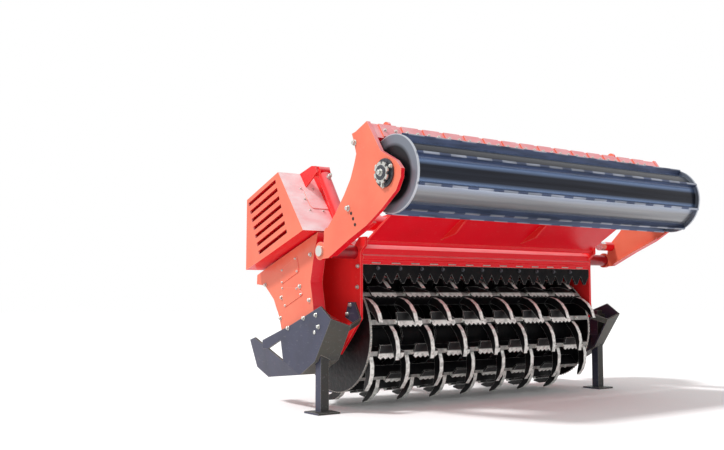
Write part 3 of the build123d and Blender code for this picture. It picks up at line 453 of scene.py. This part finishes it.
GUARD_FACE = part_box("guards")[1].x * 1000
PANEL_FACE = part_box("cover_panels")[1].x * 1000
ARM_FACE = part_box("arm_plates")[1].x * 1000
WALL_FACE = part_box("side_walls")[1].x * 1000
WALL_PLATE = 12
frame_bolts = (
    both_sides(GUARD_FACE, ((-109, 105), (-250, 127), (78, 38), (-279, 56)))
    + both_sides(PANEL_FACE, ((-134, 504), (-10, 305), (214, 233), (-122, 218), (228, 98), (429, 317)))
    + both_sides(WALL_FACE + WALL_PLATE, ((-263, 187), (-232, 130)))
    + both_sides(WALL_FACE, ((-330, 430), (-325, 300))))
copies("frame_bolts", one_bolt(18), frame_bolts, zinc, "machine")
arm_bolts = both_sides(ARM_FACE, ((-589, 759), (-655, 1140)))
copies("arm_bolts", one_bolt(24), arm_bolts, zinc, "arms")

# Black plugs close the arms' spare stop holes.
plug_rubber, tree, shader = new_finish("black_rubber")
tree.links.new(layers(tree, linear("#141210"), (blots(tree, 8, 0.4, 0.7, 0.5), "#2c2622")),
               shader.inputs["Base Color"])
shader.inputs["Roughness"].default_value = 0.7
plugs = both_sides(ARM_FACE, ((-620, 727), (-640, 694), (-659, 658)))
copies("hole_plugs", turned_disc(radius=10, depth=2, sides=16), plugs, plug_rubber, "arms")

# ---- hatches on the drive covers and the upper housings ----
# Pressed steel lids with rounded corners, screwed over the openings for oiling and for setting the drive.


def lid(outline, corner, depth, start, along, across, outward):
    """A plate with rounded corners, outlined in millimetres along and across from a starting place."""
    bpy.ops.object.select_all(action="DESELECT")
    bpy.ops.mesh.primitive_circle_add(vertices=len(outline), radius=1, fill_type="NGON")
    piece = bpy.context.object
    for vertex, (a, b) in zip(piece.data.vertices, outline):
        vertex.co = start + (Vector(along) * a + Vector(across) * b) / 1000
    bpy.ops.object.mode_set(mode="EDIT")
    bpy.ops.mesh.select_all(action="SELECT")
    bpy.ops.mesh.bevel(offset=corner / 1000, segments=3, affect="VERTICES")
    bpy.ops.mesh.select_all(action="SELECT")
    bpy.ops.mesh.extrude_region_move(
        TRANSFORM_OT_translate={"value": Vector(outward) * depth / 1000, "orient_type": "GLOBAL"})
    bpy.ops.mesh.select_all(action="SELECT")
    bpy.ops.mesh.normals_make_consistent(inside=False)
    bpy.ops.object.mode_set(mode="OBJECT")
    return piece


LID_DEPTH = 4
UPPER_LID = ((225, 412), (28, 500), (0, 400), (222, 318))
LOWER_LID = ((222, 302), (10, 298), (-50, 254), (180, 166))
SLOPE_LID = ((-86, 190), (86, 190), (86, 350), (-86, 350))
SLOPE_SCREWS = ((-100, 175), (0, 172), (100, 175), (102, 270), (100, 365), (0, 368), (-100, 365), (-102, 270))
# The upper housings' back face leans forward as it rises, from a foot in the middle of its lower edge.
SLOPE_UP = Vector((0, 306, 394)).normalized()
SLOPE_OUT = Vector((0, -394, 306)).normalized()
HOUSING_MIDDLE = 1200
cover_lids, lid_screws = [], []
for hand in (-1, 1):
    side = (at(hand * PANEL_FACE, 0, 0), (0, 1, 0), (0, 0, 1), (hand, 0, 0))
    for outline in (UPPER_LID, LOWER_LID):
        cover_lids += [lid(outline, 14, LID_DEPTH, *side)]
        middle = sum((Vector(corner) for corner in outline), Vector((0, 0))) / len(outline)
        for corner in outline:
            spot = Vector(corner).lerp(middle, 0.17)
            lid_screws += [(at(hand * (PANEL_FACE + LID_DEPTH), spot.x, spot.y), (hand, 0, 0))]
    foot = at(hand * HOUSING_MIDDLE, -214, 649)
    cover_lids += [lid(SLOPE_LID, 26, LID_DEPTH, foot, (hand, 0, 0), SLOPE_UP, SLOPE_OUT)]
    for sideways, up in SLOPE_SCREWS:
        lid_screws += [(foot + Vector((hand * sideways, 0, 0)) / 1000 + SLOPE_UP * up / 1000, SLOPE_OUT)]
joined("cover_lids", cover_lids, dust_and_sky_enamel, "machine")
copies("lid_screws", one_bolt(10), lid_screws, zinc, "machine")

# ---- roller bearings' nuts, caps and bolts ----
# Each roller bearing is closed by a lock nut with eight teeth and by a seal, the shaft ends in a hexagon cap,
# and three bolts go through the bearing's flange into the arm.
bpy.ops.object.select_all(action="DESELECT")
bpy.ops.mesh.primitive_cylinder_add(vertices=24, radius=0.05, depth=0.01, location=(0, 0, 0.005))
lock_nut = bpy.context.object
bpy.ops.object.transform_apply(location=True)
sides = [face.index for face in lock_nut.data.polygons if abs(face.normal.z) < 0.1]
sides.sort(key=lambda i: math.atan2(lock_nut.data.polygons[i].center.y, lock_nut.data.polygons[i].center.x))
# Of every three sides in turn, two make a tooth and the third is the slot beside it.
teeth = [lock_nut.data.polygons[i].center.copy() for n, i in enumerate(sides) if n % 3 != 2]
pick(lock_nut, lambda middle, normal: any((middle - tooth).length < 1e-5 for tooth in teeth))
bpy.ops.mesh.extrude_region_shrink_fatten(TRANSFORM_OT_shrink_fatten={"value": 0.013})
bpy.ops.object.mode_set(mode="OBJECT")
FLANGE, BOLT_CIRCLE = 0.010, 0.073
nut_places, seals, cap_places, flange_bolts = [], [], [], []
for hand in (-1, 1):
    hub = Vector((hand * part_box("roller_bearings")[1].x, ROLLER.y, ROLLER.z))
    shaft = Vector((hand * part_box("roller_ends")[1].x, ROLLER.y, ROLLER.z))
    nut_places += [(hub, (hand, 0, 0))]
    cap_places += [(shaft, (hand, 0, 0))]
    seals += [(hub + Vector((hand * 0.0095, 0, 0)), (hand, 0, 0))]
    for n in range(3):
        turn = math.radians(35 + 120 * n)
        flange_bolts += [(Vector((hand * (ARM_FACE / 1000 + FLANGE), ROLLER.y, ROLLER.z))
                          + BOLT_CIRCLE * Vector((0, math.cos(turn), math.sin(turn))), (hand, 0, 0))]
copies("lock_nuts", lock_nut, nut_places, zinc, "roller")
copies("shaft_seals", turned_disc(radius=43, depth=4, sides=24), seals, casting, "roller")
copies("shaft_caps", one_bolt(27), cap_places, zinc, "roller")
copies("flange_bolts", one_bolt(17), flange_bolts, zinc, "arms")

# ---- lift cylinders' oil fittings and hoses ----
# Two zinc-plated hexagon fittings stand on each barrel at its ports, and a pale hose curves from one to the
# other on the barrel's side of them.
DOWN = Vector((0, -270, -415)).normalized()
OFF = Vector((0, -415, 270)).normalized()


def bar_between(start, end, radius, sides=12):
    """A round bar from one place to another, with its far end chamfered."""
    bpy.ops.object.select_all(action="DESELECT")
    run = end - start
    piece = turned_disc(radius, run.length * 1000, sides)
    piece.data.transform(Matrix.Translation(start) @ run.to_track_quat("Z", "Y").to_matrix().to_4x4())
    return piece


def hose(middle, start, around, turn, radius, sides=10):
    """A bent round hose: a circle spun through an angle round an axis."""
    bpy.ops.object.select_all(action="DESELECT")
    out = (start - middle).normalized()
    ahead = Vector(around).cross(out)
    bpy.ops.mesh.primitive_circle_add(
        vertices=sides, radius=radius / 1000, location=start,
        rotation=ahead.to_track_quat("Z", "Y").to_euler(), fill_type="NGON")
    piece = bpy.context.object
    bpy.ops.object.transform_apply()
    bpy.ops.object.mode_set(mode="EDIT")
    bpy.ops.mesh.select_all(action="SELECT")
    bpy.ops.mesh.spin(steps=12, angle=math.radians(turn), center=middle, axis=around)
    bpy.ops.mesh.select_all(action="SELECT")
    bpy.ops.mesh.normals_make_consistent(inside=False)
    bpy.ops.object.mode_set(mode="OBJECT")
    return piece


hose_rubber, tree, shader = new_finish("pale_grey_hose_cover")
tree.links.new(layers(tree, linear("#b5b2a8"), (blots(tree, 15, 0.45, 0.7, 0.6), "#6c6a64")),
               shader.inputs["Base Color"])
shader.inputs["Roughness"].default_value = 0.6
UPPER_PORT, LOWER_PORT = 0.075, 0.32
for hand, side in ((-1, "left"), (1, "right")):
    pin = at(hand * HOUSING_MIDDLE, -95, 1040)
    fittings = []
    for distance in (UPPER_PORT, LOWER_PORT):
        port = pin + DOWN * distance + OFF * 0.03
        fittings += [bar_between(port, port + OFF * 0.03, 15, 6), bar_between(port, port + OFF * 0.042, 9)]
    joined("oil_fittings_" + side, fittings, zinc, "barrel_" + side)
    top = pin + DOWN * UPPER_PORT + OFF * 0.066
    middle = pin + DOWN * (UPPER_PORT + LOWER_PORT) / 2 + OFF * 0.0975
    loop = [hose(middle, top, around=(1, 0, 0), turn=151, radius=7)]
    joined("oil_hose_" + side, loop, hose_rubber, "barrel_" + side)

# ---- weld beads, hardfacing and the comb's bolts ----
# The beam under the hood is stitch-welded along its lower edge, and bolts below the welds hold the comb. Studs
# of hard weld metal guard the rims of the rotor's end discs.
bare_weld = turned("bare_weld_metal", "#c9c2bb", "#6e6863", 0.35)


def weld_bead(length, width):
    """A round bead lying along X at the origin, its ends bevelled."""
    bpy.ops.object.select_all(action="DESELECT")
    bpy.ops.mesh.primitive_cylinder_add(
        vertices=8, radius=width / 2000, depth=length / 1000, rotation=(0, math.pi / 2, 0))
    piece = bpy.context.object
    bpy.ops.object.transform_apply()
    pick(piece, lambda middle, normal: abs(normal.x) > 0.9)
    bpy.ops.mesh.bevel(offset=width * 0.3 / 1000, segments=2, affect="EDGES")
    bpy.ops.object.mode_set(mode="OBJECT")
    return piece


BEAM_BACK = -350
stitches = [(at(-960 + 160 * n, BEAM_BACK, 453), (0, -1, 0)) for n in range(13)]
copies("beam_welds", weld_bead(length=70, width=9), stitches, bare_weld, "machine")
DISC_MIDDLE, DISC_RIM, STUDS = 1.0205, 0.379, 96
studs = []
for hand in (-1, 1):
    for n in range(STUDS):
        turn = math.radians(360 / STUDS * n)
        out = Vector((0, -math.cos(turn), math.sin(turn)))
        studs += [(Vector((hand * DISC_MIDDLE, AXIS.y, AXIS.z)) + out * DISC_RIM, out)]
copies("rim_studs", turned_disc(radius=6, depth=6, sides=8), studs, bare_weld, "rotor")
comb_bolts = [(at(-945 + 180 * n, BEAM_BACK, 420), (0, -1, 0)) for n in range(11)]
copies("comb_bolts", one_bolt(17), comb_bolts, casting, "machine")

# ---- bolts beside the rotor's hooks ----
# One bolt stands on the tool bar beside each hook, in rows of seven and eight hooks in turn. The bolts at the
# ends of the long rows are left out, because the end discs are there.
HOOK_STEP, FIRST_ROW, BAR_TOP = 285, 12, 0.381
hook_bolts = []
for row in range(12):
    angle = math.radians(FIRST_ROW - 30 * row)
    out = Vector((0, -math.cos(angle), math.sin(angle)))
    hooks = 7 if row % 2 == 0 else 6
    for n in range(hooks):
        x = (n - (hooks - 1) / 2) * HOOK_STEP + 30
        hook_bolts += [(Vector((x / 1000, AXIS.y, AXIS.z)) + out * BAR_TOP, out)]
copies("hook_bolts", one_bolt(17), hook_bolts, zinc, "rotor")

# ---- scraper bolts ----
# Two bolts hold each of the fifteen scraper tabs to the crossbeam's sloping face above the roller.
BEAM_OUT = Vector((0, -90, 62)).normalized()
TAB_STEP, MIDDLE_TAB, TAB_DEPTH = 165.5, -43, 0.010
tab_bolts = []
for n in range(-7, 8):
    for shift in (-40, 40):
        foot = at(MIDDLE_TAB + TAB_STEP * n + shift, -805, 1195)
        tab_bolts += [(foot + BEAM_OUT * TAB_DEPTH, BEAM_OUT)]
copies("tab_bolts", one_bolt(14), tab_bolts, zinc, "arms")

# ---- drive input ----
# The spline on the gearbox's input shaft, the black plastic bell that guards it, and the screws in the
# gearbox's front.
SHAFT_HEIGHT, SHAFT_RADIUS = 660, 0.0205
spline = []
for n in range(12):
    turn = math.radians(30 * n)
    out = Vector((math.cos(turn), 0, math.sin(turn)))
    back, front = (at(0, forward, SHAFT_HEIGHT) + out * SHAFT_RADIUS for forward in (690, 758))
    spline += [bar_between(back, front, 3.2, 6)]
joined("input_spline", spline, zinc, "machine")
bell_plastic, tree, shader = new_finish("moulded_black_polyethylene")
tree.links.new(layers(tree, linear("#161618"), (blots(tree, 40, 0.5, 0.8, 0.4), "#3c3a38")),
               shader.inputs["Base Color"])
shader.inputs["Roughness"].default_value = 0.5
bpy.ops.object.select_all(action="DESELECT")
bpy.ops.mesh.primitive_cylinder_add(
    vertices=32, radius=0.095, depth=0.125, location=at(0, 622.5, SHAFT_HEIGHT), rotation=(math.pi / 2, 0, 0))
bell = bpy.context.object
bpy.ops.object.transform_apply()
pick(bell, lambda middle, normal: normal.y > 0.9)
bpy.ops.mesh.inset(thickness=0.006)
bpy.ops.mesh.extrude_region_move(TRANSFORM_OT_translate={"value": (0, -0.115, 0)})
bpy.ops.object.mode_set(mode="OBJECT")
joined("shaft_bell", [bell], bell_plastic, "machine")
gearbox_screws = [(at(x, 560, SHAFT_HEIGHT + z), (0, 1, 0)) for x in (-45, 45) for z in (-110, 110)]
copies("gearbox_screws", one_bolt(19), gearbox_screws, zinc, "machine")

# ---- linch pins ----
# A spring ring and its pin through the end of each lower hitch pin keep the lift arms on.
PIN_HALF = Vector((0, 0, 0.036))
rings = []
for hand in (-1, 1):
    middle = at(hand * 545, 930, 160)
    bpy.ops.object.select_all(action="DESELECT")
    bpy.ops.mesh.primitive_torus_add(
        location=middle + Vector((0, 0, -0.012)), rotation=(0, math.pi / 2, 0), major_radius=0.032,
        minor_radius=0.003, major_segments=24, minor_segments=6)
    ring = bpy.context.object
    bpy.ops.object.transform_apply()
    rings += [ring, bar_between(middle - PIN_HALF, middle + PIN_HALF, 5)]
joined("linch_pins", rings, zinc, "machine")

# ---- stand pins ----
# A bolt through each socket holds the rear stand down.
SOCKET_FACE = 1333
copies("stand_pins", one_bolt(22), both_sides(SOCKET_FACE, ((-235, 20),)), zinc, "machine")

# ---- floor and light ----
# A pale studio floor under a broad soft sun from the left, with an even white surround. The floor is white to
# the eye and keeps the machine's shadow.


def in_sight(tree):
    """Whether a ray comes from the eye, straight, by a gloss or through glass."""
    seen = add(tree, "ShaderNodeMath", {
        0: add(tree, "ShaderNodeLightPath", give="Is Camera Ray"),
        1: add(tree, "ShaderNodeLightPath", give="Is Glossy Ray")}, operation="ADD")
    return add(tree, "ShaderNodeMath", {
        0: seen,
        1: add(tree, "ShaderNodeLightPath", give="Is Transmission Ray")}, operation="ADD", use_clamp=True)


floor_finish, tree, shader = new_finish("studio_floor")
tree.links.new(
    layers(
        tree, linear("#ececea"),
        (blots(tree, 900, 0.4, 0.7, 0.5), "#f4f3f1"),
        (in_sight(tree), "#ffffff")),
    shader.inputs["Base Color"])
shader.inputs["Roughness"].default_value = 1.0
shader.inputs["Specular IOR Level"].default_value = 0.0
bpy.ops.mesh.primitive_plane_add(size=60)
floor = bpy.context.object
floor.name = "floor"
floor.data.materials.append(floor_finish)
bpy.ops.object.select_all(action="DESELECT")
world = bpy.data.worlds.new("studio")
bpy.context.scene.world = world
world.use_nodes = True
tree = world.node_tree
tree.nodes["Background"].inputs["Color"].default_value = (1, 1, 1, 1)
tree.links.new(add(tree, "ShaderNodeMapRange", {0: in_sight(tree), 3: 0.7, 4: 1.0}),
               tree.nodes["Background"].inputs["Strength"])
sun_data = bpy.data.lights.new("sun", "SUN")
sun_data.energy = 2.2
sun_data.angle = math.radians(8)
sun = bpy.data.objects.new("sun", sun_data)
bpy.context.scene.collection.objects.link(sun)
sun.rotation_euler = Vector((-0.6, 0.2, 0.85)).to_track_quat("Z", "Y").to_euler()
bpy.context.scene.view_settings.view_transform = "Standard"
